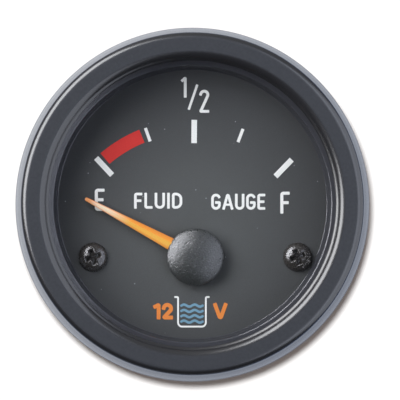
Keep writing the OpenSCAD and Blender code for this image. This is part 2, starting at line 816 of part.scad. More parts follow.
// push-in holder: sleeve in the case floor, flange, and a grip with two wings
module lamp_holder() {
    pocket_z = floor_z;
    slot_t = contact_t + 2 * snug;
    slot_w = contact_w + 2 * snug;
    color([0.15, 0.15, 0.15]) facing() translate([0, lamp_rise, 0])
        difference() {
            union() {
                translate([0, 0, collar_z]) cylinder(r = sleeve_r, h = sleeve_top - collar_z);
                translate([0, 0, grip_z]) cylinder(r = lamp_flange_r, h = lamp_flange_t);
                translate([0, 0, grip_z - grip_h]) cylinder(r = grip_r, h = grip_h);
                translate([-lamp_flange_r + 0.6, -wing_t / 2, grip_z - grip_h + 1])
                    cube([2 * lamp_flange_r - 1.2, wing_t, grip_h - 1]);
            }
            translate([0, 0, pocket_z]) cylinder(r = sleeve_r - sleeve_wall, h = sleeve_top - pocket_z + 1);
            for (side = [-1, 1])
                translate([side * contact_x - slot_t / 2, -slot_w / 2, grip_z - grip_h - 1])
                    cube([slot_t, slot_w, pocket_z - grip_z + grip_h + 2]);
        }
}

// two strips from the holder's blades up to the bulb's wedge
module lamp_contacts() {
    strip_top = floor_z + wedge_h - 1;
    strip_end = grip_z - grip_h - contact_l;
    color([0.85, 0.7, 0.35]) facing() translate([0, lamp_rise, 0])
        for (side = [-1, 1])
            translate([side * contact_x - contact_t / 2, -contact_w / 2, strip_end])
                cube([contact_t, contact_w, strip_top - strip_end]);
}

// wedge-base bulb
module bulb() {
    wedge_half = contact_x - contact_t / 2 - snug;
    wedge_z = floor_z + 0.2;
    glass_z = wedge_z + wedge_h;
    tip_z = sleeve_top + bulb_l;
    color([0.9, 0.92, 0.95, 0.5]) facing() translate([0, lamp_rise, 0])
        union() {
            translate([-wedge_half, -wedge_t / 2, wedge_z]) cube([2 * wedge_half, wedge_t, wedge_h + 1]);
            difference() {
                rotate_extrude()
                    polygon(concat([[0, glass_z], [bulb_r - 1.2, glass_z], [bulb_r, glass_z + 2]],
                                   arc(0, tip_z - bulb_r, bulb_r, 0, 90, 8)));
                rotate_extrude()
                    polygon(concat([[0, glass_z + 3], [bulb_r - 1, glass_z + 3]],
                                   arc(0, tip_z - bulb_r, bulb_r - 0.6, 0, 90, 8)));
            }
        }
}

// two support wires and the filament across their ends
module bulb_filament() {
    support_z = floor_z + 0.2 + wedge_h + 3;
    support_h = 7;
    wire_r = 0.2;
    half = 2;
    color([0.6, 0.6, 0.62]) facing() translate([0, lamp_rise, 0])
        union() {
            for (side = [-1, 1]) translate([side * half, 0, support_z]) cylinder(r = wire_r, h = support_h);
            translate([-half, 0, support_z + support_h - wire_r])
                rotate([0, 90, 0]) cylinder(r = wire_r, h = 2 * half);
        }
}

bezel();
lens();
lens_seal();
dial_ring();
dial_plate();
scale_marks();
low_zone();
dial_screws();
pointer();
hub_cap();
balance_weight();
spindle();
rotor_magnet();
bobbin_front();
bobbin_rear();
inner_coil();
outer_coil();
shield_ring();
return_magnet();
coil_pins();
movement_frame();
circuit_board();
resistor();
case();
panel_seal();
terminal_plus();
terminal_sender();
terminal_ground();
terminal_rivets();
mounting_studs();
stud_washers();
stud_nuts();
clamp_bracket();
spring_washers();
thumb_nut_left();
thumb_nut_right();
lamp_holder();
lamp_contacts();
bulb();
bulb_filament();
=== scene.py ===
import math

import bmesh
import bpy
from mathutils import Matrix, Vector


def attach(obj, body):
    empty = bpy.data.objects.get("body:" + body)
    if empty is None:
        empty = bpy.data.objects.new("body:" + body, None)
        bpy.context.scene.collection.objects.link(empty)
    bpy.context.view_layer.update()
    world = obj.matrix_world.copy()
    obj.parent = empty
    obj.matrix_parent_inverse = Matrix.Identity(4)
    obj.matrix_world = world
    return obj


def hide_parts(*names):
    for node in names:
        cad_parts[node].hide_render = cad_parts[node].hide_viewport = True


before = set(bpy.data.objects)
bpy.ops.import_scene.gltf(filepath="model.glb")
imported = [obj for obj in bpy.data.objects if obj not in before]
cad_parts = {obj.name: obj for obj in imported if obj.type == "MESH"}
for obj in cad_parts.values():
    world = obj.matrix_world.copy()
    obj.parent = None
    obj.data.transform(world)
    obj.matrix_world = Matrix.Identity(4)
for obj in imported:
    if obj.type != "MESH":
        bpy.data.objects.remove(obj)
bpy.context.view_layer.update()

# Pieces are drawn in mm, x right, y up, z towards the viewer, from the gauge's axis at the panel.
mmToRow = Matrix.Rotation(math.radians(90), 4, "X") @ Matrix.Scale(0.001, 4)

# heights and radii that several pieces share
dialTop, sealTop, glassBack, glassFront, faceFront = 0.5, 2.8, 3.8, 5.6, 8.0
windowRadius, ringTopRadius, dialRadius = 24.15, 23.35, 22.75
pivot = (0.5, -8.95)
restTurn = math.radians(152.0)


def toLinear(hexColour):
    parts = [int(hexColour[i:i + 2], 16) / 255 for i in (1, 3, 5)]
    return tuple(c / 12.92 if c <= 0.04045 else ((c + 0.055) / 1.055) ** 2.4 for c in parts) + (1.0,)


def addNode(tree, kind, settings=None, links=None):
    node = tree.nodes.new(kind)
    for name, value in (settings or {}).items():
        if isinstance(name, str) and hasattr(node, name):
            setattr(node, name, value)
        else:
            node.inputs[name].default_value = value
    for name, source in (links or {}).items():
        # a node stands for its first output
        socket = source.outputs[0] if isinstance(source, bpy.types.Node) else source
        tree.links.new(socket, node.inputs[name])
    return node


def emptyTree(owner):
    owner.use_nodes = True
    owner.node_tree.nodes.clear()
    return owner.node_tree


def newObject(name, data):
    made = bpy.data.objects.new(name, data)
    bpy.context.scene.collection.objects.link(made)
    return made


def newMaterial(name, colour, roughness, sockets):
    material = bpy.data.materials.new(name)
    tree = emptyTree(material)
    shader = addNode(
        tree, "ShaderNodeBsdfPrincipled",
        {"Base Color": toLinear(colour), "Roughness": roughness, **sockets})
    addNode(tree, "ShaderNodeOutputMaterial", links={"Surface": shader})
    return material, tree, shader


def noiseAt(tree, sizeMm, detail=3.0, stretch=(1, 1, 1)):
    # noise whose grains are sizeMm across, on the row's own coordinates
    place = addNode(tree, "ShaderNodeTexCoord")
    fitted = addNode(tree, "ShaderNodeMapping", {"Scale": stretch}, {"Vector": place.outputs["Object"]})
    noise = addNode(tree, "ShaderNodeTexNoise", {"Scale": 1000 / sizeMm, "Detail": detail},
                    {"Vector": fitted})
    return noise.outputs[0]


def giveRelief(tree, shader, height, reliefMm, strength):
    relief = addNode(tree, "ShaderNodeBump", {"Strength": strength, "Distance": reliefMm / 1000},
                     {"Height": height})
    tree.links.new(relief.outputs[0], shader.inputs["Normal"])


def paintedBendShade(tree, tone, s):
    # painted shade: the flat face keeps its tone, and the bends inside and outside it are darker
    place = addNode(tree, "ShaderNodeTexCoord")
    flat = addNode(tree, "ShaderNodeVectorMath", {"operation": "MULTIPLY", 1: (1000.0, 0.0, 1000.0)},
                   {0: place.outputs["Object"]})
    radius = addNode(tree, "ShaderNodeVectorMath", {"operation": "LENGTH"}, {0: flat.outputs["Vector"]})
    inner, outer = [addNode(tree, "ShaderNodeMapRange", {"From Min": s[low], "From Max": s[high]},
                            {0: radius.outputs["Value"]})
                    for low, high in (("from", "to"), ("outTo", "outFrom"))]
    face = addNode(tree, "ShaderNodeMath", {"operation": "MULTIPLY"}, {0: inner, 1: outer})
    mixed = addNode(tree, "ShaderNodeMix", {"data_type": "RGBA", 6: toLinear(s["colour"])},
                    {0: face, 7: tone})
    return mixed.outputs[2]


# what a finish has unless its own entry says otherwise
usual = {"grainMm": 0.5, "reliefMm": 0.01, "patchMm": 6.0, "spread": 0.06, "strength": 0.4,
         "stretch": (1, 1, 1), "sockets": {}}


def grainedMaterial(name, entry):
    # two shades in broad patches, and a fine grain in the roughness and the relief
    look = {**usual, **entry}
    material, tree, shader = newMaterial(name, look["colour"], look["roughness"], look["sockets"])
    shades = addNode(
        tree, "ShaderNodeMix",
        {"data_type": "RGBA", 6: toLinear(look["colour"]), 7: toLinear(look["second"])},
        {0: noiseAt(tree, look["patchMm"])})
    tone = shades.outputs[2]
    # where an entry has bends, painted shade darkens them
    if "bends" in look:
        tone = paintedBendShade(tree, tone, look["bends"])
    tree.links.new(tone, shader.inputs["Base Color"])
    grain = noiseAt(tree, look["grainMm"], 4.0, look["stretch"])
    rough = addNode(
        tree, "ShaderNodeMapRange",
        {"From Min": 0.3, "From Max": 0.7, "To Min": look["roughness"] - look["spread"],
         "To Max": look["roughness"] + look["spread"]}, {0: grain})
    tree.links.new(rough.outputs[0], shader.inputs["Roughness"])
    giveRelief(tree, shader, grain, look["reliefMm"], look["strength"])
    return material


metal = {"Metallic": 1.0}

# one entry per finish: what the material is, how its surface was made, and what that gives the eye
looks = {
    # stove-enamelled spun steel: satin black with a fine orange peel, pale at grazing angles
    "satinEnamelledSpunSteel": {
        "colour": "#35373c", "second": "#424449", "roughness": 0.26, "grainMm": 0.3, "patchMm": 0.45,
        "reliefMm": 0.001, "spread": 0.01, "sockets": {"Specular IOR Level": 1.0, "IOR": 1.56},
        # painted shade: the lip and the outer edge are darker than the flat face
        "bends": {"colour": "#242427", "from": 25.3, "to": 25.75, "outFrom": 27.9, "outTo": 28.3}
    },
    # polished ABS moulding: deep gloss black
    "polishedAbs": {
        "colour": "#3c3d42", "second": "#424348", "roughness": 0.2, "grainMm": 6.0, "reliefMm": 0.001,
        "spread": 0.01, "strength": 0.02, "sockets": {"Specular IOR Level": 1.0}
    },
    # ABS from a spark-eroded mould: matt grain that sparkles in a highlight, drawn coarse enough to show
    "sparkErodedAbs": {
        "colour": "#2d302f", "second": "#343736", "roughness": 0.29, "grainMm": 0.27, "reliefMm": 0.092,
        "spread": 0.03, "strength": 1.0, "sockets": {"Specular IOR Level": 1.0, "IOR": 1.62}
    },
    # lacquered black oxide on turned steel: glossy, with small glints
    "lacqueredBlackSteel": {
        "colour": "#2c2926", "second": "#33302d", "roughness": 0.27, "grainMm": 0.3, "spread": 0.05,
        "sockets": {"Specular IOR Level": 1.0, "IOR": 1.6}
    },
    # moulded EPDM rubber: dead black, slightly dusty
    "mouldedRubber": {
        "colour": "#161616", "second": "#1e1e1d", "roughness": 0.8, "reliefMm": 0.02
    },
    # glass-filled nylon moulding: black with a faint flow pattern
    "glassFilledNylon": {
        "colour": "#1b1c1e", "second": "#222326", "roughness": 0.46, "grainMm": 0.35, "reliefMm": 0.02,
        "spread": 0.08
    },
    # plain nylon moulding: black, a little smoother than the filled one
    "unfilledBlackNylon": {
        "colour": "#1d1d1e", "second": "#232324", "roughness": 0.38, "grainMm": 0.6
    },
    # stamped brass strip: yellow, drawn lines along the blade
    "stampedBrass": {
        "colour": "#d8b46a", "second": "#c9a25a", "roughness": 0.3, "reliefMm": 0.006,
        "stretch": (1, 0.08, 1), "spread": 0.1, "sockets": metal
    },
    # zinc-plated turned steel: cool grey, fine rings from the lathe
    "zincPlatedTurnedSteel": {
        "colour": "#b9bdc2", "second": "#a9aeb5", "roughness": 0.3, "grainMm": 0.3, "reliefMm": 0.006,
        "stretch": (0.3, 3, 0.3), "spread": 0.08, "sockets": metal
    },
    # zinc-plated rolled strip: spangled grey with lines along the strip
    "zincPlatedStrip": {
        "colour": "#b2b6ba", "second": "#9fa4a9", "roughness": 0.36, "reliefMm": 0.003,
        "stretch": (0.15, 0.15, 1.5), "spread": 0.08, "patchMm": 3.0, "sockets": metal
    },
    # pressed and sintered ferrite: dull charcoal
    "sinteredFerrite": {
        "colour": "#3a3a3d", "second": "#2f2f31", "roughness": 0.6, "grainMm": 0.3, "reliefMm": 0.02
    },
    # natural nylon moulding: warm ivory, faintly uneven
    "naturalNylon": {
        "colour": "#d8ceb4", "second": "#cfc4a8", "roughness": 0.45, "grainMm": 0.8
    },
    # enamelled copper wire laid side by side: fine parallel ridges
    "enamelledCopperWinding": {
        "colour": "#b0633a", "second": "#8f4b2a", "roughness": 0.32, "grainMm": 0.25, "reliefMm": 0.05,
        "stretch": (1, 1, 0.1), "sockets": {"Metallic": 0.7}
    },
    # polycarbonate moulding: white, for the lamp's light
    "mouldedPolycarbonate": {
        "colour": "#e6e6e1", "second": "#dededa", "roughness": 0.4, "grainMm": 0.8, "reliefMm": 0.008
    },
    # epoxy glass-fibre board: green with the cloth's weave under the mask
    "glassFibreBoard": {
        "colour": "#1f6a3c", "second": "#1a5a33", "roughness": 0.35, "grainMm": 0.4
    },
    # lacquered ceramic tube: glossy tan
    "lacqueredCeramic": {
        "colour": "#c9ac78", "second": "#bc9f6c", "roughness": 0.35
    },
    # drawn tungsten wire: grey metal
    "drawnTungsten": {
        "colour": "#8d8f92", "second": "#808285", "roughness": 0.4, "grainMm": 0.2, "reliefMm": 0.004,
        "sockets": metal
    },
}

# screen-printed inks: flat, each with its two shades and the size of their patches
inks = {"white": ("#ecede7", "#f2f3ed", 1.5), "red": ("#cf3935", "#d5403b", 1.5),
        "orange": ("#e0853f", "#e68d48", 1.0), "greyBlue": ("#6f98ad", "#7aa2b6", 1.0)}
for ink, (colour, second, patchMm) in inks.items():
    looks[ink + "ScreenInk"] = {"colour": colour, "second": second, "roughness": 0.7, "grainMm": 0.12,
                                "reliefMm": 0.004, "patchMm": patchMm,
                                "sockets": {"Specular IOR Level": 0.15}}
finishes = {name: grainedMaterial(name, look) for name, look in looks.items()}


# aluminium sheet printed matt charcoal: fine grain and a few dust specks, with painted sheen: lighter round a
# middle point, darker towards the rim
def printedAluminium():
    # middle, rim, centre, fromMm and toMm paint the sheen: the colour turns from middle to rim between these
    # distances from the centre
    dial = {"middle": "#555756", "rim": "#3f4041", "centre": (0.0, 0.0, -0.0035), "fromMm": 8.0, "toMm": 28.0,
            "dust": "#a4a8aa", "dustApartMm": 2.2, "dustMm": 0.1, "grainMm": 0.16, "roughness": 0.75,
            "reliefMm": 0.006, "strength": 0.3}
    material, tree, shader = newMaterial("printedAluminium", dial["middle"], dial["roughness"],
                                         {"Specular IOR Level": 0.15})
    place = addNode(tree, "ShaderNodeTexCoord")
    away = addNode(tree, "ShaderNodeVectorMath", {"operation": "DISTANCE", 1: dial["centre"]},
                   {0: place.outputs["Object"]})
    # painted sheen and shade: the base colour darkens from the middle towards the rim
    share = addNode(
        tree, "ShaderNodeMapRange", {"From Min": dial["fromMm"] / 1000, "From Max": dial["toMm"] / 1000},
        {0: away.outputs["Value"]})
    paintedSheen = addNode(
        tree, "ShaderNodeMix", {"data_type": "RGBA", 6: toLinear(dial["middle"]), 7: toLinear(dial["rim"])},
        {0: share})
    grain = noiseAt(tree, dial["grainMm"])
    speckle = addNode(
        tree, "ShaderNodeMapRange", {"From Min": 0.3, "From Max": 0.7, "To Min": 0.9, "To Max": 1.1},
        {0: grain})
    mottled = addNode(tree, "ShaderNodeMix", {"data_type": "RGBA", "blend_type": "MULTIPLY", 0: 1.0},
                      {6: paintedSheen.outputs[2], 7: speckle})
    cells = addNode(tree, "ShaderNodeTexVoronoi", {"Scale": 1000 / dial["dustApartMm"]},
                    {"Vector": place.outputs["Object"]})
    size = dial["dustMm"] / dial["dustApartMm"]
    speck = addNode(tree, "ShaderNodeMapRange", {"From Min": size, "From Max": size * 0.6},
                    {0: cells.outputs["Distance"]})
    dusty = addNode(tree, "ShaderNodeMix", {"data_type": "RGBA", 7: toLinear(dial["dust"])},
                    {0: speck, 6: mottled.outputs[2]})
    tree.links.new(dusty.outputs[2], shader.inputs["Base Color"])
    giveRelief(tree, shader, grain, dial["reliefMm"], dial["strength"])
    return material


# moulded amber acrylic: glows a little from inside, with painted light in its colour: a painted highlight
# paler towards its tip, and painted shade on its upper half and long edges
def amberAcrylic():
    # each band lies over those before it: its colour, how it is measured, its limits and its strength
    arm = {"root": "#f4ba54", "roughness": 0.28, "pivotAt": (pivot[0], -1.5, pivot[1]), "widthAt": 4.8,
           "length": 21.1, "rootHalf": 1.05, "tipHalf": 0.3,
           # painted light: the upper half darker orange as painted shade, a pale painted highlight before the
           # tip that turns orange again at its end, and darker long edges as painted shade that keep the
           # highlight to a core
           "bands": [("#f09c3a", "across", 0.1, 0.3, 1.0), ("#ffe4c4", "along", 12.5, 16.8, 1.0),
                     ("#f0a468", "along", 18.6, 20.4, 1.0), ("#e0843a", "outward", 0.45, 0.9, 0.8)],
           "grainMm": 0.6, "reliefMm": 0.01, "strength": 0.2,
           "sockets": {"Subsurface Weight": 0.15, "Subsurface Radius": (0.001, 0.0004, 0.0001),
                       "Subsurface Scale": 0.6}}
    material, tree, shader = newMaterial("amberAcrylic", arm["root"], arm["roughness"], arm["sockets"])
    place = addNode(tree, "ShaderNodeTexCoord")
    inMm = addNode(tree, "ShaderNodeVectorMath", {"operation": "SCALE", "Scale": 1000.0},
                   {0: place.outputs["Object"]})
    along = addNode(tree, "ShaderNodeVectorMath", {"operation": "DISTANCE", 1: arm["pivotAt"]},
                    {0: inMm.outputs["Vector"]})
    # across the arm, as a share of its half width there: + is its upper edge
    way = Vector((math.sin(restTurn), 0.0, -math.cos(restTurn)))
    aside = addNode(tree, "ShaderNodeVectorMath", {"operation": "DOT_PRODUCT", 1: way},
                    {0: inMm.outputs["Vector"]})
    offset = addNode(tree, "ShaderNodeMath", {"operation": "SUBTRACT", 1: way.dot(arm["pivotAt"])},
                     {0: aside.outputs["Value"]})
    halfWidth = addNode(
        tree, "ShaderNodeMapRange",
        {"From Min": arm["widthAt"], "From Max": arm["length"], "To Min": arm["rootHalf"],
         "To Max": arm["tipHalf"]}, {0: along.outputs["Value"]})
    across = addNode(tree, "ShaderNodeMath", {"operation": "DIVIDE"}, {0: offset, 1: halfWidth})
    outward = addNode(tree, "ShaderNodeMath", {"operation": "ABSOLUTE"}, {0: across})
    measures = {"across": across, "along": along.outputs["Value"], "outward": outward}
    under = {}
    for colour, measure, start, end, most in arm["bands"]:
        share = addNode(tree, "ShaderNodeMapRange", {"From Min": start, "From Max": end, "To Max": most},
                        {0: measures[measure]})
        band = addNode(
            tree, "ShaderNodeMix", {"data_type": "RGBA", 6: toLinear(arm["root"]), 7: toLinear(colour)},
            {0: share, **under})
        under = {6: band.outputs[2]}
    tree.links.new(under[6], shader.inputs["Base Color"])
    giveRelief(tree, shader, noiseAt(tree, arm["grainMm"]), arm["reliefMm"], arm["strength"])
    return material


# float glass: clear, mirrors a little, and lets the lamps through to the dial
def clearGlass(name, tint, roughness):
    material, tree, shader = newMaterial(name, tint, roughness, {"Transmission Weight": 1.0, "IOR": 1.5})
    rays = addNode(tree, "ShaderNodeLightPath")
    opened = addNode(tree, "ShaderNodeBsdfTransparent", {"Color": toLinear(tint)})
    both = addNode(
        tree, "ShaderNodeMixShader", links={0: rays.outputs["Is Shadow Ray"], 1: shader, 2: opened})
    # bounced light passes straight too, so that each lamp reaches the dial once
    for bounce in ("Is Diffuse Ray", "Is Glossy Ray"):
        both = addNode(tree, "ShaderNodeMixShader", links={0: rays.outputs[bounce], 1: both, 2: opened})
    output = next(n for n in tree.nodes if n.type == "OUTPUT_MATERIAL")
    tree.links.new(both.outputs[0], output.inputs["Surface"])
    giveRelief(tree, shader, noiseAt(tree, 8.0), 0.01, 0.02)  # wide, faint smears
    return material


finishes["printedAluminium"] = printedAluminium()
finishes["amberAcrylic"] = amberAcrylic()
finishes["floatGlass"] = clearGlass("floatGlass", "#fefeff", 0.0)
finishes["blownGlass"] = clearGlass("blownGlass", "#f4f6f5", 0.02)
print("finishes made:", len(finishes))


def addPiece(name, build, body, finish, replaced=(), sharpAngle=35):
    bmesh.ops.remove_doubles(build, verts=build.verts, dist=1e-5)
    bmesh.ops.recalc_face_normals(build, faces=build.faces)
    mesh = bpy.data.meshes.new(name)
    build.to_mesh(mesh)
    build.free()
    mesh.transform(mmToRow)
    mesh.shade_smooth()
    mesh.set_sharp_from_angle(angle=math.radians(sharpAngle))
    mesh.materials.append(finishes[finish])
    piece = newObject(name, mesh)
    if body:
        settle(piece, body, replaced)
    return piece


def settle(piece, body, replaced):
    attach(piece, body)
    if replaced:
        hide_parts(*replaced)


def bake(piece):
    # the evaluated shape as a plain mesh, with no modifier left
    bpy.context.view_layer.update()
    shape = piece.evaluated_get(bpy.context.evaluated_depsgraph_get())
    mesh = bpy.data.meshes.new_from_object(shape)
    piece.modifiers.clear()
    piece.data = mesh
    mesh.shade_smooth()
    mesh.set_sharp_from_angle(angle=math.radians(30))


def arcPoints(x, y, radius, start, end, steps):
    turns = [math.radians(start + (end - start) * i / steps) for i in range(steps + 1)]
    return [(x + radius * math.cos(t), y + radius * math.sin(t)) for t in turns]


def heldProfile(profile, gap=0.05):
    # points close to each corner, so that the flats stay flat when shaded smooth
    held = []
    for (x0, y0), (x1, y1) in zip(profile, profile[1:] + profile[:1]):
        held.append((x0, y0))
        length = math.hypot(x1 - x0, y1 - y0)
        if length > 5 * gap:
            held += [(x0 + (x1 - x0) * s, y0 + (y1 - y0) * s) for s in (gap / length, 1 - gap / length)]
    return held


def joinLoops(build, loops):
    # faces between each loop of vertices and the next one, with none where both sides lie on an axis
    for here, there in zip(loops, loops[1:]):
        for i in range(len(here)):
            j = (i + 1) % len(here)
            if here[i].co != there[i].co or here[j].co != there[j].co:
                build.faces.new((here[i], there[i], there[j], here[j]))


def turned(profile, turns, place=(0.0, 0.0), build=None):
    # a closed profile of radius and height, turned round the axis
    build = build or bmesh.new()
    rings = []
    for k in range(turns):
        angle = 2 * math.pi * k / turns
        rings.append([build.verts.new((place[0] + r * math.cos(angle), place[1] + r * math.sin(angle), z))
                      for r, z in profile])
    joinLoops(build, rings + rings[:1])
    return build


def layOnHand(build):
    # a shape drawn along x comes to lie along the pointer at rest
    bmesh.ops.rotate(build, matrix=Matrix.Rotation(restTurn, 3, "Z"), cent=(0, 0, 0), verts=build.verts)
    bmesh.ops.translate(build, vec=(*pivot, 0), verts=build.verts)


# spun bezel: a leaning flank, a rounded edge, the flat face, a rounded lip with its straight slope and short
# wall, the bead at the glass, and the back edge crimped round the case's flange
spunBezel = {"backRadius": 30.0, "back": 1.0, "lean": 1.45, "bulge": 0.12, "flankSteps": 8, "edgeRound": 1.2,
             "rimRadius": 25.85, "rimRound": 1.5, "rimEnd": 137, "slopeEnd": 24.6, "bead": 1.0,
             "beadAside": 0.707, "beadUnder": 0.5, "beadTurn": (105, 135), "sheet": 0.8, "crimpRadius": 26.7,
             "backRound": 0.35, "insideEdge": 0.4, "cornerSheet": 0.2, "turns": 256}


def makeBezel(s):
    def flank(z):
        share = (z - s["back"]) / (faceFront - s["back"])
        return s["backRadius"] - s["lean"] * share + 4 * s["bulge"] * share * (1 - share)
    leanAngle = math.degrees(math.atan(s["lean"] / (faceFront - s["back"])))
    edgeZ, inside, crimpTop = faceFront - s["edgeRound"], faceFront - s["sheet"], s["back"] + s["sheet"]
    profile = [(s["crimpRadius"], s["back"])]
    profile += arcPoints(s["backRadius"] - s["backRound"], s["back"] + s["backRound"], s["backRound"],
                         -90, leanAngle, 8)
    rises = [crimpTop + (edgeZ - crimpTop) * k / s["flankSteps"] for k in range(s["flankSteps"])]
    profile += [(flank(z), z) for z in rises]
    profile += arcPoints(flank(edgeZ) - s["edgeRound"], edgeZ, s["edgeRound"], leanAngle, 90, 16)
    profile += arcPoints(s["rimRadius"], faceFront - s["rimRound"], s["rimRound"], 90, s["rimEnd"], 14)
    wall = s["slopeEnd"]
    slopeDrop = (profile[-1][0] - wall) * math.tan(math.radians(s["rimEnd"] - 90))
    profile += [(wall, profile[-1][1] - slopeDrop)]
    profile += arcPoints(windowRadius + s["beadAside"] * s["bead"], glassFront - s["beadUnder"] * s["bead"],
                         s["bead"], *s["beadTurn"], 12)
    rimInside = wall + s["sheet"]
    profile += [(windowRadius, glassFront), (rimInside, glassFront), (rimInside, inside - s["insideEdge"]),
                (rimInside + s["insideEdge"], inside),
                (flank(inside) - s["sheet"] - s["cornerSheet"], inside),
                (flank(crimpTop) - s["sheet"], crimpTop), (s["crimpRadius"], crimpTop)]
    build = turned(heldProfile(profile), s["turns"])
    addPiece("bezelShell", build, "housing", "satinEnamelledSpunSteel", ("bezel",))


makeBezel(spunBezel)
print("bezel made")

# flat glass, with a ground edge
glassPane = {"radius": 26.6, "edge": 0.2, "turns": 192}


def makeGlass(s):
    profile = [(0, glassBack), (s["radius"] - s["edge"], glassBack), (s["radius"], glassBack + s["edge"]),
               (s["radius"], glassFront - s["edge"]), (s["radius"] - s["edge"], glassFront), (0, glassFront)]
    addPiece("glassPane", turned(profile, s["turns"]), "housing", "floatGlass", ("lens",), 20)


makeGlass(glassPane)

# glossy ring between glass and dial: its top leans inward, its wall runs down to a small foot
dialRing = {"plateRadius": 24.3, "seatRadius": 25.2, "topRound": 0.35, "leanFrom": 24.6, "topLean": 12.0,
            "wallTurn": 168, "foot": 0.06, "footRise": 0.7, "turns": 256}


def makeRing(s):
    profile = [(dialRadius, dialTop), (s["plateRadius"], dialTop), (s["plateRadius"], sealTop),
               (s["seatRadius"], sealTop), (s["seatRadius"], glassBack), (s["leanFrom"], glassBack)]
    drop = (s["leanFrom"] - ringTopRadius - s["topRound"]) * math.tan(math.radians(s["topLean"]))
    profile += arcPoints(ringTopRadius + s["topRound"], glassBack - drop - s["topRound"], s["topRound"],
                         90 + s["topLean"], s["wallTurn"], 10)
    profile += [(dialRadius + s["foot"], dialTop + s["footRise"] * s["foot"])]
    addPiece("ringWall", turned(heldProfile(profile), s["turns"]), "housing", "polishedAbs",
             ("dial_ring",))


makeRing(dialRing)
print("glass and dial ring made")

# domed hub cap over the pointer's root, with a slot in its skirt for the arm
hubCap = {"radius": 4.8, "foot": 0.9, "footEdge": 0.05, "skirtTop": 2.2, "top": 3.4, "wall": 0.7,
          "armTop": 1.95, "shoulderDrop": 0.08, "shoulderIn": 0.06, "shoulderRise": 0.01, "crownShare": 0.97,
          "slotWidth": 2.6, "slotHeight": 2.0, "cavityTop": 2.4, "bossRadius": 1.4, "crownPower": 2.6,
          "crownSteps": 24, "turns": 160}


def makeCap(s):
    rise = s["top"] - s["skirtTop"]
    profile = [(s["bossRadius"], s["foot"]), (s["bossRadius"], s["cavityTop"]),
               (s["radius"] - s["wall"], s["cavityTop"]), (s["radius"] - s["wall"], s["foot"]),
               (s["radius"] - s["footEdge"], s["foot"]), (s["radius"], s["foot"] + s["footEdge"]),
               (s["radius"], s["skirtTop"] - s["shoulderDrop"]),
               (s["radius"] - s["shoulderIn"], s["skirtTop"] + s["shoulderRise"])]
    shares = [s["crownShare"] * (1 - k / s["crownSteps"]) for k in range(s["crownSteps"] + 1)]
    profile += [(s["radius"] * share, s["top"] - rise * share ** s["crownPower"]) for share in shares]
    profile += [(0, s["foot"])]
    cap = addPiece("hubDome", turned(profile, s["turns"], pivot), None, "sparkErodedAbs")
    block = bmesh.new()
    bmesh.ops.create_cube(block, size=1.0)
    bmesh.ops.scale(block, vec=(s["radius"], s["slotWidth"], s["slotHeight"]), verts=block.verts)
    bmesh.ops.translate(block, vec=(s["radius"] / 2 + s["bossRadius"], 0, s["armTop"] - s["slotHeight"] / 2),
                        verts=block.verts)
    layOnHand(block)
    cutter = addPiece("slotCutter", block, None, "sparkErodedAbs")
    slot = cap.modifiers.new("slot", "BOOLEAN")
    slot.operation, slot.solver, slot.object = "DIFFERENCE", "EXACT", cutter
    bake(cap)
    bpy.data.objects.remove(cutter)
    settle(cap, "hand", ("hub_cap",))


makeCap(hubCap)
print("hub cap made")

# tapered pointer with a ridge nearer to its upper edge
arm = {"rootX": 2.2, "rootWidth": 2.1, "widthAt": 4.8, "length": 21.1, "tipWidth": 0.6,
       "tipTurns": (25, 50, 72), "foot": 1.45, "side": 0.5, "ridge": 0.85, "ridgeShift": -0.2,
       "ridgeHalf": 0.12, "upperRise": 0.93, "lowerRise": 0.9, "boreRadius": 0.52, "discRadius": 3.2,
       "discTurns": 64, "stations": 14}


def makeArm(s):
    build = bmesh.new()
    taper = (s["rootWidth"] - s["tipWidth"]) / (s["length"] - s["widthAt"])
    straight = s["length"] - s["tipWidth"] / 2
    stations = [(s["rootX"] + (straight - s["rootX"]) * i / s["stations"]) for i in range(s["stations"] + 1)]
    sections = [(x, s["tipWidth"] + taper * (straight - x)) for x in stations]
    half = s["tipWidth"] / 2
    sections += [(straight + half * math.sin(math.radians(a)), s["tipWidth"] * math.cos(math.radians(a)))
                 for a in s["tipTurns"]]
    loops = []
    for x, width in sections:
        k = width / s["rootWidth"]
        rise = (s["ridge"] - s["side"]) * k
        outline = [(-width / 2, 0), (width / 2, 0), (width / 2, s["side"]),
                   ((s["ridgeShift"] + s["ridgeHalf"]) * k, s["side"] + rise * s["upperRise"]),
                   (s["ridgeShift"] * k, s["side"] + rise),
                   ((s["ridgeShift"] - s["ridgeHalf"]) * k, s["side"] + rise * s["lowerRise"]),
                   (-width / 2, s["side"])]
        loops.append([build.verts.new((x, y, s["foot"] + z)) for y, z in outline])
    joinLoops(build, loops)
    build.faces.new(loops[0])
    build.faces.new(reversed(loops[-1]))
    layOnHand(build)
    bore, rim, top = s["boreRadius"], s["discRadius"], s["foot"] + s["side"]
    turned([(bore, s["foot"]), (rim, s["foot"]), (rim, top), (bore, top)], s["discTurns"], pivot, build)
    addPiece("amberPointer", build, "hand", "amberAcrylic", ("pointer",), 22)


makeArm(arm)
print("pointer made")

# screws and studs are one shape each, laid at both their places by a node tree
def startPair(name, more=()):
    # a node tree's sockets: the shape, where the pair's places are, how the shape turns there, and its finish
    tree = bpy.data.node_groups.new(name, "GeometryNodeTree")
    usualSockets = (("Geometry", "Geometry"), ("Offset", "Float"), ("Middle", "Float"), ("Height", "Float"),
                    ("Turn", "Float"), ("Finish", "Material"))
    for label, kind in (*usualSockets, *more):
        tree.interface.new_socket(label, in_out="INPUT", socket_type="NodeSocket" + kind)
    tree.interface.new_socket("Geometry", in_out="OUTPUT", socket_type="NodeSocketGeometry")
    return tree, addNode(tree, "NodeGroupInput")


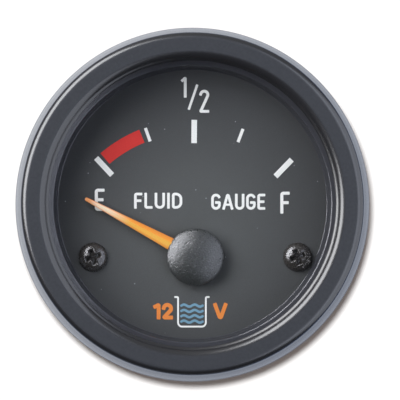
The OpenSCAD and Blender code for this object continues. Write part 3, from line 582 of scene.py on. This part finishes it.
def endPair(tree, given, shape):
    # lays the shape at both places, left and right of the middle, and coats it
    left = addNode(tree, "ShaderNodeMath", {"operation": "SUBTRACT"},
                   {0: given.outputs["Middle"], 1: given.outputs["Offset"]})
    across = addNode(tree, "ShaderNodeMath", {"operation": "MULTIPLY", 1: 2.0},
                     {0: given.outputs["Offset"]})
    start = addNode(tree, "ShaderNodeCombineXYZ", links={0: left, 2: given.outputs["Height"]})
    step = addNode(tree, "ShaderNodeCombineXYZ", links={0: across})
    line = addNode(tree, "GeometryNodeMeshLine", {"mode": "OFFSET", "Count": 2},
                   {"Start Location": start, "Offset": step})
    spin = addNode(tree, "ShaderNodeCombineXYZ", links={1: given.outputs["Turn"]})
    placed = addNode(
        tree, "GeometryNodeInstanceOnPoints", links={"Points": line, "Instance": shape, "Rotation": spin})
    real = addNode(tree, "GeometryNodeRealizeInstances", links={0: placed})
    coated = addNode(tree, "GeometryNodeSetMaterial", links={0: real, "Material": given.outputs["Finish"]})
    addNode(tree, "NodeGroupOutput", links={0: coated})
    return tree


def runTree(piece, tree, values):
    # sets each named input by its socket's identifier, then keeps the result as a plain mesh
    repeat = piece.modifiers.new("repeat", "NODES")
    repeat.node_group = tree
    for socket in tree.interface.items_tree:
        if socket.in_out == "INPUT" and socket.name in values:
            repeat[socket.identifier] = values[socket.name]
    bake(piece)


# the two pan-head dial screws with cross recesses
dialScrews = {"headRadius": 2.45, "headHeight": 1.5, "foot": 0.06, "shankRadius": 1.25, "shank": 7.5,
              "offset": 17.3, "turn": 20.0, "armLength": 1.3, "armWidth": 0.72, "recess": 0.95, "wall": 0.22,
              "brokenEdge": 0.16, "edgeSlope": 0.95, "rings": 72, "turns": 168}


def recessDepth(x, y, s):
    # how far the cross goes down at a place: 0 outside its outline, full inside the sloping wall
    def beyondBar(u, v):
        du, dv = abs(u) - s["armLength"], abs(v) - s["armWidth"] / 2
        return math.hypot(max(du, 0), max(dv, 0)) + min(max(du, dv), 0)
    inside = -min(beyondBar(x, y), beyondBar(y, x))
    edge = s["edgeSlope"] * min(s["brokenEdge"], max(0.0, inside + s["brokenEdge"]))
    share = min(1.0, max(0.0, inside / s["wall"]))
    return edge + (s["recess"] - s["edgeSlope"] * s["brokenEdge"]) * share * share * (3 - 2 * share)


def makeScrews(s):
    build = bmesh.new()

    def ring(radius, level, recessed):
        loop = []
        for k in range(s["turns"]):
            angle = 2 * math.pi * k / s["turns"]
            x, y = radius * math.cos(angle), radius * math.sin(angle)
            loop.append(build.verts.new((x, y, dialTop + level - (recessDepth(x, y, s) if recessed else 0))))
        return loop
    rise = s["headHeight"] - s["foot"]
    tilts = [math.pi / 2 * k / s["rings"] for k in range(1, s["rings"] + 1)]
    loops = [ring(s["headRadius"] * math.sin(t), s["foot"] + rise * math.cos(t), True) for t in tilts]
    loops += [ring(s["headRadius"], 0, False), ring(s["shankRadius"], 0, False),
              ring(s["shankRadius"], -s["shank"], False)]
    joinLoops(build, loops)
    top = build.verts.new((0, 0, dialTop + s["headHeight"] - s["recess"]))
    for k in range(s["turns"]):
        build.faces.new((top, loops[0][k], loops[0][(k + 1) % s["turns"]]))
    build.faces.new(reversed(loops[-1]))
    screw = addPiece("dialScrewPair", build, None, "lacqueredBlackSteel")
    tree, given = startPair("pairOnLine")
    endPair(tree, given, given.outputs["Geometry"])
    runTree(screw, tree, {"Offset": s["offset"] / 1000, "Middle": pivot[0] / 1000, "Height": pivot[1] / 1000,
                          "Turn": -math.radians(s["turn"]), "Finish": finishes["lacqueredBlackSteel"]})
    settle(screw, "housing", ("dial_screws",))


makeScrews(dialScrews)
print("dial screws made")

# threaded studs: a turned core and head, with a swept thread round the core
studs = {"coreRadius": 1.68, "ridge": 0.32, "pitch": 0.7, "offset": 16.0, "headRadius": 3.6, "headTop": -36.0,
         "floorTop": -38.0, "plainEnd": -40.5, "end": -66.0, "tipEdge": 0.5, "shoulder": 0.3,
         "threadInto": 0.1, "turns": 48}


def threadTree():
    tree, given = startPair("threadedPair", (("Start", "Float"), ("Length", "Float"), ("Pitch", "Float"),
                                             ("Core radius", "Float"), ("Ridge", "Float")))
    rounds = addNode(tree, "ShaderNodeMath", {"operation": "DIVIDE"},
                     {0: given.outputs["Length"], 1: given.outputs["Pitch"]})
    helix = addNode(
        tree, "GeometryNodeCurveSpiral", {"Resolution": 28},
        {"Rotations": rounds, "Start Radius": given.outputs["Core radius"],
         "End Radius": given.outputs["Core radius"], "Height": given.outputs["Length"]})
    upright = addNode(tree, "GeometryNodeSetCurveNormal", {"mode": "Z_UP"}, {0: helix})
    ridge = addNode(tree, "GeometryNodeCurvePrimitiveCircle", {"mode": "RADIUS", "Resolution": 4},
                    {"Radius": given.outputs["Ridge"]})
    thread = addNode(tree, "GeometryNodeCurveToMesh", {"Fill Caps": True},
                     {0: upright, "Profile Curve": ridge})
    shift = addNode(tree, "ShaderNodeCombineXYZ", links={1: given.outputs["Start"]})
    laid = addNode(tree, "GeometryNodeTransform", {"Rotation": (-math.pi / 2, 0, 0)},
                   {0: thread, "Translation": shift})
    joined = addNode(tree, "GeometryNodeJoinGeometry")
    tree.links.new(given.outputs["Geometry"], joined.inputs[0])
    tree.links.new(laid.outputs[0], joined.inputs[0])
    return endPair(tree, given, joined)


def makeStuds(s):
    core, outer = s["coreRadius"], s["coreRadius"] + s["ridge"]
    profile = [(0, s["end"]), (core - s["tipEdge"], s["end"]), (core, s["end"] + s["tipEdge"]),
               (core, s["plainEnd"]), (outer, s["plainEnd"] + s["shoulder"]), (outer, s["floorTop"]),
               (s["headRadius"], s["floorTop"]), (s["headRadius"], s["headTop"]), (0, s["headTop"])]
    stud = addPiece("threadedStuds", turned(profile, s["turns"]), None, "zincPlatedTurnedSteel")
    run = s["plainEnd"] - s["end"] - 2 * s["ridge"]
    values = {"Offset": s["offset"], "Start": s["threadInto"] - s["plainEnd"], "Length": run,
              "Pitch": s["pitch"], "Core radius": core, "Ridge": s["ridge"]}
    runTree(stud, threadTree(), {**{name: value / 1000 for name, value in values.items()},
                                 "Finish": finishes["zincPlatedTurnedSteel"]})
    settle(stud, "housing", ("mounting_studs",))


makeStuds(studs)
print("studs made")


# lettering and dial marks that the print carries, drawn as inked strokes
def rounded(points, width, closed=False):
    # each point is x, y and the radius of its corner; a tight corner turns round one inner point, its pin
    path, pins = [], {}
    for i, (x, y, radius) in enumerate(points):
        if radius == 0 or (not closed and i in (0, len(points) - 1)):
            path.append(Vector((x, y)))
            continue
        corner = Vector((x, y))
        back = (Vector(points[i - 1][:2]) - corner).normalized()
        on = (Vector(points[(i + 1) % len(points)][:2]) - corner).normalized()
        half = back.angle(on) / 2
        centre = corner + (back + on).normalized() * radius / math.sin(half)
        reach = radius / math.tan(half)
        first, last = corner + back * reach - centre, corner + on * reach - centre
        turn = math.atan2(first.x * last.y - first.y * last.x, first.dot(last))
        steps = 10
        if radius < width / 2:
            pin = corner + (back + on).normalized() * width / 2 / math.sin(half)
            pins.update({len(path) + k: pin for k in range(steps + 1)})
        path += [centre + Matrix.Rotation(turn * k / steps, 2) @ first for k in range(steps + 1)]
    return path, pins


capShapes = {"round": [(0.94, 0.34), (0.77, 0.64), (0.5, 0.87), (0.17, 0.98)],
             "blunt": [(1.0, 0.55), (0.93, 0.78), (0.75, 0.92), (0.5, 0.97)]}


def stroke(build, path, pins, width, caps=("round", "round"), closed=False):
    count = len(path)
    edges = []
    for i, point in enumerate(path):
        ways = []
        if closed or i > 0:
            ways.append((point - path[i - 1]).normalized())
        if closed or i < count - 1:
            ways.append((path[(i + 1) % count] - point).normalized())
        along = sum(ways, Vector((0, 0))).normalized()
        side = Vector((-along.y, along.x))
        reach = width / 2 / max(0.35, abs(along.dot(ways[0])))
        sides = [point + side * reach, point - side * reach]
        if i in pins:
            sides[0 if side.dot(pins[i] - point) > 0 else 1] = pins[i]
        edges.append([build.verts.new((*p, dialTop)) for p in sides])
    for i in range(count if closed else count - 1):
        here, there = edges[i], edges[(i + 1) % count]
        build.faces.new((here[0], there[0], there[1], here[1]))
    if closed:
        return
    for end, cap in ((0, caps[0]), (count - 1, caps[1])):
        if cap == "flat":
            continue
        out = (path[end] - path[1 if end == 0 else count - 2]).normalized()
        side = Vector((-out.y, out.x))
        shape = capShapes[cap]
        rim = [path[end] + side * a * width / 2 + out * b * width / 2
               for a, b in shape + [(-a, b) for a, b in reversed(shape)]]
        ring = [edges[end][0 if end else 1]] + [build.verts.new((*p, dialTop)) for p in rim]
        build.faces.new(ring + [edges[end][1 if end else 0]])


inkThickness = 0.05
peak = 1.12  # how far the centre lines of A and V meet beyond the letter's height


def printOn(name, build, finish):
    # the flat strokes become a thin layer of ink
    bmesh.ops.remove_doubles(build, verts=build.verts, dist=1e-4)
    lifted = bmesh.ops.extrude_face_region(build, geom=build.faces[:])["geom"]
    bmesh.ops.translate(build, vec=(0, 0, inkThickness),
                        verts=[v for v in lifted if isinstance(v, bmesh.types.BMVert)])
    addPiece(name, build, "housing", finish, (), 30)


def letterLines(letter, w, h, s):
    # centre lines of a letter in a box of w by h, each point with the radius of its corner
    half, corner, tight = w / 2, s * 0.53, s * 0.25
    bar = [(s / 2, h / 2, 0), (w * 0.85, h / 2, 0)]

    def bend(x, y, radius, start, end):
        return [(px, py, 0) for px, py in arcPoints(x, y, radius, start, end, 12)]
    lines = {
        "F": [[(w, h, 0), (0, h, corner), (0, 0, 0)], bar],
        "E": [[(w, h, 0), (0, h, corner), (0, 0, corner), (w, 0, 0)], bar],
        "L": [[(0, h, 0), (0, 0, corner), (w, 0, 0)]],
        "U": [[(0, h, 0), (0, 0, half * 0.96), (w, 0, half * 0.96), (w, h, 0)]],
        "I": [[(half, h, 0), (half, 0, 0)]],
        "D": [[(0, 0, corner), (0, h, corner), (w, h, half * 1.3), (w, 0, half * 1.3)]],
        "G": [bend(half, h - half, half, 28, 180) + bend(half, half, half, 180, 355)
              + [(w, h * 0.44, tight / 2), (w * 0.56, h * 0.44, 0)]],
        "A": [[(0, 0, 0), (half, h * peak, tight), (w, 0, 0)]],
        "V": [[(0, h, 0), (half, h - h * peak, tight), (w, h, 0)]],
        "1": [[(0, h * 0.86, 0), (w, h, tight / 2), (w, 0, 0)]],
        "2": [bend(half, h - half, half, 172, -32) + [(0, 0, tight / 2), (w, 0, 0)]],
        "/": [[(0, 0, 0), (w, h, 0)]],
    }
    return lines[letter]


def drawLetter(build, letter, x, y, width, height, s):
    w, h, closed = width - s, height - s, letter == "D"
    for k, line in enumerate(letterLines(letter, w, h, s)):
        moved = [(x + s / 2 + px, y + s / 2 + py, r) for px, py, r in line]
        # the bars of E and F start flat, against their stems
        stroke(build, *rounded(moved, s, closed), s, ("flat" if k else "blunt", "blunt"), closed)
    if letter == "A":  # its bar, cut to the legs' inner edges
        slope = w / 2 / (h * peak)
        edge = s / 2 * math.hypot(1, slope)
        (x0, y0), (x1, y1) = [(level * slope + edge, level) for level in (h * 0.2, h * 0.2 + s * 0.8)]
        outline = [(x0, y0), (w - x0, y0), (w - x1, y1), (x1, y1)]
        build.faces.new([build.verts.new((x + s / 2 + px, y + s / 2 + py, dialTop)) for px, py in outline])


# each word: its left end, its foot, the gap between its letters, and the letters with their widths;
# each mark: its character, left end, foot, width, height and stroke
scalePrint = {"wordStroke": 0.45, "wordHeight": 2.71,
              "words": [(-9.87, -0.76, 0.34, [("F", 1.4), ("L", 1.4), ("U", 1.75), ("I", 0.5), ("D", 1.75)]),
                        (3.18, -0.93, 0.28, [("G", 1.62), ("A", 1.85), ("U", 1.6), ("G", 1.62),
                                             ("E", 1.35)])],
              "marks": [("E", -16.52, -1.12, 1.66, 3.75, 0.52), ("F", 14.88, -1.6, 1.6, 3.72, 0.52),
                        ("1", -1.92, 18.05, 0.95, 3.6, 0.48), ("/", -0.77, 16.0, 1.75, 4.3, 0.42),
                        ("2", 1.16, 15.5, 1.7, 3.9, 0.48)]}


def makeLettering(s):
    build = bmesh.new()
    for x, y, gap, letters in s["words"]:
        for letter, width in letters:
            drawLetter(build, letter, x, y, width, s["wordHeight"], s["wordStroke"])
            x += width + gap
    for mark in s["marks"]:
        drawLetter(build, *mark)
    printOn("dialLettering", build, "whiteScreenInk")


makeLettering(scalePrint)

# a plain supply mark in the place below the hub: an open vessel with waves between a voltage
supplyMark = {"x": -0.07, "y": -20.7, "line": 0.3, "vesselWidth": 4.7, "vesselHeight": 5.0, "lip": 0.5,
              "lipRound": 0.2, "footRound": 0.7, "waveLine": 0.4, "waves": 4, "firstWave": 0.85,
              "waveStep": 0.9, "waveRise": 0.17, "waveRoom": 0.55, "waveRounds": 2, "waveParts": 32,
              "numbers": [("1", -6.55, 1.25), ("2", -5.1, 1.9), ("V", 3.6, 2.4)], "numberFoot": 1.2,
              "numberHeight": 2.8, "numberStroke": 0.66}


def makeSupplyMark(s):
    vessel, waves, numbers = bmesh.new(), bmesh.new(), bmesh.new()
    x, y, half, top = s["x"], s["y"], s["vesselWidth"] / 2, s["y"] + s["vesselHeight"]
    outline = [(x - half - s["lip"], top, 0), (x - half, top, s["lipRound"]), (x - half, y, s["footRound"]),
               (x + half, y, s["footRound"]), (x + half, top, s["lipRound"]), (x + half + s["lip"], top, 0)]
    stroke(vessel, *rounded(outline, s["line"]), s["line"])
    printOn("vesselMark", vessel, "whiteScreenInk")
    reach = half - s["waveRoom"]
    for row in range(s["waves"]):
        level = y + s["firstWave"] + row * s["waveStep"]
        path = []
        for share in [k / s["waveParts"] for k in range(s["waveParts"] + 1)]:
            rise = s["waveRise"] * math.sin(2 * math.pi * s["waveRounds"] * share)
            path.append(Vector((x - reach + 2 * reach * share, level + rise)))
        stroke(waves, path, {}, s["waveLine"])
    printOn("waveMark", waves, "greyBlueScreenInk")
    for number, right, width in s["numbers"]:
        drawLetter(numbers, number, x + right, y + s["numberFoot"], width, s["numberHeight"],
                   s["numberStroke"])
    printOn("voltageMark", numbers, "orangeScreenInk")


makeSupplyMark(supplyMark)
print("lettering made")

# finishes of the nodes that keep their CAD shape
nodeFinishes = {
    "mouldedRubber": ("lens_seal", "panel_seal"),
    "printedAluminium": ("dial_plate",),
    "whiteScreenInk": ("scale_marks",),
    "redScreenInk": ("low_zone",),
    "stampedBrass": ("balance_weight", "coil_pins", "terminal_plus", "terminal_sender", "terminal_ground",
                     "lamp_contacts"),
    "zincPlatedTurnedSteel": ("spindle", "terminal_rivets", "stud_washers", "stud_nuts", "thumb_nut_left",
                              "thumb_nut_right"),
    "zincPlatedStrip": ("shield_ring", "clamp_bracket", "spring_washers"),
    "sinteredFerrite": ("rotor_magnet", "return_magnet"),
    "naturalNylon": ("bobbin_front", "bobbin_rear"),
    "enamelledCopperWinding": ("inner_coil", "outer_coil"),
    "mouldedPolycarbonate": ("movement_frame",),
    "glassFibreBoard": ("circuit_board",),
    "lacqueredCeramic": ("resistor",),
    "glassFilledNylon": ("case",),
    "unfilledBlackNylon": ("lamp_holder",),
    "blownGlass": ("bulb",),
    "drawnTungsten": ("bulb_filament",),
}
for finish, nodes in nodeFinishes.items():
    for node in nodes:
        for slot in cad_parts[node].material_slots:
            slot.material = finishes[finish]
print("nodes finished:", sum(len(nodes) for nodes in nodeFinishes.values()))


# white paper behind the gauge, clear from its back so that it hides nothing
paper = {"behind": 0.09, "half": 0.22, "white": "#e6e6e6", "shade": "#ffe0d2", "glow": 0.115,
         "mirrored": "#f0f6ff", "far": "#264a78", "brightest": (-0.03, 0.09, 0.025), "farFrom": 0.03,
         "farTo": 0.19}


def makePaper(s):
    build = bmesh.new()
    corners = [(-1, -1), (1, -1), (1, 1), (-1, 1)]
    build.faces.new([build.verts.new((x * s["half"], s["behind"], z * s["half"])) for x, z in corners])
    mesh = bpy.data.meshes.new("paper")
    build.to_mesh(mesh)
    build.free()
    sheet = newObject("paper", mesh)
    material = bpy.data.materials.new("whitePaper")
    tree = emptyTree(material)
    rays = addNode(tree, "ShaderNodeLightPath")
    # painted reflection: to glossy rays the paper is a little bluish and brightest round one point, and dark
    # farther out, so the enamel beside it mirrors that
    place = addNode(tree, "ShaderNodeTexCoord")
    away = addNode(tree, "ShaderNodeVectorMath", {"operation": "DISTANCE", 1: s["brightest"]},
                   {0: place.outputs["Object"]})
    share = addNode(tree, "ShaderNodeMapRange", {"From Min": s["farFrom"], "From Max": s["farTo"]},
                    {0: away.outputs["Value"]})
    mirrored = addNode(
        tree, "ShaderNodeMix", {"data_type": "RGBA", 6: toLinear(s["mirrored"]), 7: toLinear(s["far"])},
        {0: share})
    tone = addNode(tree, "ShaderNodeMix", {"data_type": "RGBA", 6: toLinear(s["white"])},
                   {0: rays.outputs["Is Glossy Ray"], 7: mirrored.outputs[2]})
    matt = addNode(tree, "ShaderNodeBsdfDiffuse", links={"Color": tone.outputs[2]})
    shaded = addNode(
        tree, "ShaderNodeMix",
        {"data_type": "RGBA", "blend_type": "MULTIPLY", 0: 1.0, 6: toLinear(s["shade"])},
        {7: tone.outputs[2]})
    glow = addNode(tree, "ShaderNodeEmission", {"Strength": s["glow"]}, {"Color": shaded.outputs[2]})
    lit = addNode(tree, "ShaderNodeAddShader", links={0: matt, 1: glow})
    seen = addNode(tree, "ShaderNodeMath", {"operation": "MAXIMUM"},
                   {0: rays.outputs["Is Camera Ray"], 1: rays.outputs["Is Glossy Ray"]})
    front = addNode(tree, "ShaderNodeMixShader", links={0: seen, 1: matt, 2: lit})
    clear = addNode(tree, "ShaderNodeBsdfTransparent")
    face = addNode(tree, "ShaderNodeNewGeometry")
    both = addNode(tree, "ShaderNodeMixShader", links={0: face.outputs["Backfacing"], 1: front, 2: clear})
    addNode(tree, "ShaderNodeOutputMaterial", links={"Surface": both})
    mesh.materials.append(material)
    return sheet


paperSheet = makePaper(paper)

# the camera stands a little below the axis, as in the photograph
camera = {"azimuth": 0.0, "elevation": -1.6, "distance": 0.6, "frameWidth": 0.0678, "aimBack": -0.00135,
          "aimRight": 0.00129, "aimUp": 0.000739}


def makeCamera(s):
    a, e = math.radians(s["azimuth"]), math.radians(s["elevation"])
    away = Vector((math.sin(a) * math.cos(e), -math.cos(a) * math.cos(e), math.sin(e)))
    right = Vector((math.cos(a), math.sin(a), 0))
    up = right.cross(-away)
    aim = Vector((0, s["aimBack"], 0)) + right * s["aimRight"] + up * s["aimUp"]
    data = bpy.data.cameras.new("camera")
    data.sensor_width = 36.0
    data.lens = 36.0 * s["distance"] / s["frameWidth"]
    data.clip_start, data.clip_end = 0.01, 10.0
    eye = newObject("camera", data)
    eye.location = aim + away * s["distance"]
    eye.rotation_euler = (-away).to_track_quat("-Z", "Y").to_euler()
    bpy.context.scene.camera = eye
    return eye, right, up


cameraObject, viewRight, viewUp = makeCamera(camera)

# lamps: direction from the gauge, distance, size round and towards its axis, power and tint
lamps = {
    "keyWindow": {"towards": (-0.69, -0.60, 0.40), "distance": 0.5, "size": (0.6, 0.36), "power": 4.15,
                  "tint": "#fafbfe"},
    "rightCard": {"towards": (0.88, -0.47, -0.04), "distance": 0.55, "size": (1.0, 1.2), "power": 4.9,
                  "tint": "#e9effd"},
}
paperLamp = {"leftOfCamera": 0.0038, "aboveCamera": 0.008, "radius": 0.005, "power": 22.5}


def linkLamp(lamp, name, state):
    group = bpy.data.collections.new(name)
    group.objects.link(paperSheet)
    group.collection_objects[0].light_linking.link_state = state
    lamp.light_linking.receiver_collection = group


def makeLamps():
    for name, s in lamps.items():
        data = bpy.data.lights.new(name, "AREA")
        data.shape, data.energy = "RECTANGLE", s["power"]
        data.size, data.size_y = s["size"]
        data.color = toLinear(s["tint"])[:3]
        lamp = newObject(name, data)
        way = Vector(s["towards"]).normalized()
        lamp.location = way * s["distance"]
        across = way.cross(Vector((0, -1, 0))).normalized()
        lamp.rotation_euler = Matrix((across, way.cross(across), way)).transposed().to_euler()
        lamp.visible_camera = False
        linkLamp(lamp, name + "Receivers", "EXCLUDE")
    data = bpy.data.lights.new("paperLamp", "POINT")
    data.shadow_soft_size, data.energy = paperLamp["radius"], paperLamp["power"]
    lamp = newObject("paperLamp", data)
    lamp.location = (cameraObject.location - viewRight * paperLamp["leftOfCamera"]
                     + viewUp * paperLamp["aboveCamera"])
    linkLamp(lamp, "paperLampReceivers", "INCLUDE")


makeLamps()


def makeWorld():
    # the picture's white behind the gauge; otherwise a dim room, with a brighter ceiling in its reflections
    room = {"ambient": 0.09, "below": 0.4, "above": 1.6, "front": 0.03, "ceiling": 0.3, "white": 1.0,
            "behindFrom": 0.25, "behindTo": 0.5, "ceilingFrom": 0.45, "ceilingTo": 0.95,
            "dim": (0.96, 0.98, 1.0, 1)}
    world = bpy.data.worlds.new("studio")
    bpy.context.scene.world = world
    tree = emptyTree(world)
    rays = addNode(tree, "ShaderNodeLightPath")
    place = addNode(tree, "ShaderNodeTexCoord")
    parts = addNode(tree, "ShaderNodeSeparateXYZ", links={0: place.outputs["Generated"]})
    behind = addNode(
        tree, "ShaderNodeMapRange", {"From Min": room["behindFrom"], "From Max": room["behindTo"]},
        {0: parts.outputs["Y"]})
    bent = addNode(tree, "ShaderNodeMath", {"operation": "MAXIMUM"},
                   {0: rays.outputs["Is Glossy Ray"], 1: rays.outputs["Is Transmission Ray"]})
    past = addNode(tree, "ShaderNodeMath", {"operation": "MULTIPLY"}, {0: bent, 1: behind})
    shown = addNode(tree, "ShaderNodeMath", {"operation": "MAXIMUM"},
                    {0: rays.outputs["Is Camera Ray"], 1: past})
    white = addNode(tree, "ShaderNodeBackground", {"Strength": room["white"]})
    height = addNode(
        tree, "ShaderNodeMapRange",
        {"From Min": -1.0, "To Min": room["ambient"] * room["below"],
         "To Max": room["ambient"] * room["above"]}, {0: parts.outputs["Z"]})
    ceiling = addNode(
        tree, "ShaderNodeMapRange",
        {"From Min": room["ceilingFrom"], "From Max": room["ceilingTo"], "To Min": room["front"],
         "To Max": room["ceiling"]}, {0: parts.outputs["Z"]})
    dimmer = addNode(tree, "ShaderNodeMix", {"data_type": "FLOAT"},
                     {0: rays.outputs["Is Glossy Ray"], 2: height, 3: ceiling})
    dim = addNode(tree, "ShaderNodeBackground", {"Color": room["dim"]}, {"Strength": dimmer})
    both = addNode(tree, "ShaderNodeMixShader", links={0: shown, 1: dim, 2: white})
    addNode(tree, "ShaderNodeOutputWorld", links={"Surface": both})


makeWorld()
bpy.context.scene.view_settings.view_transform = "Standard"
print("studio made")
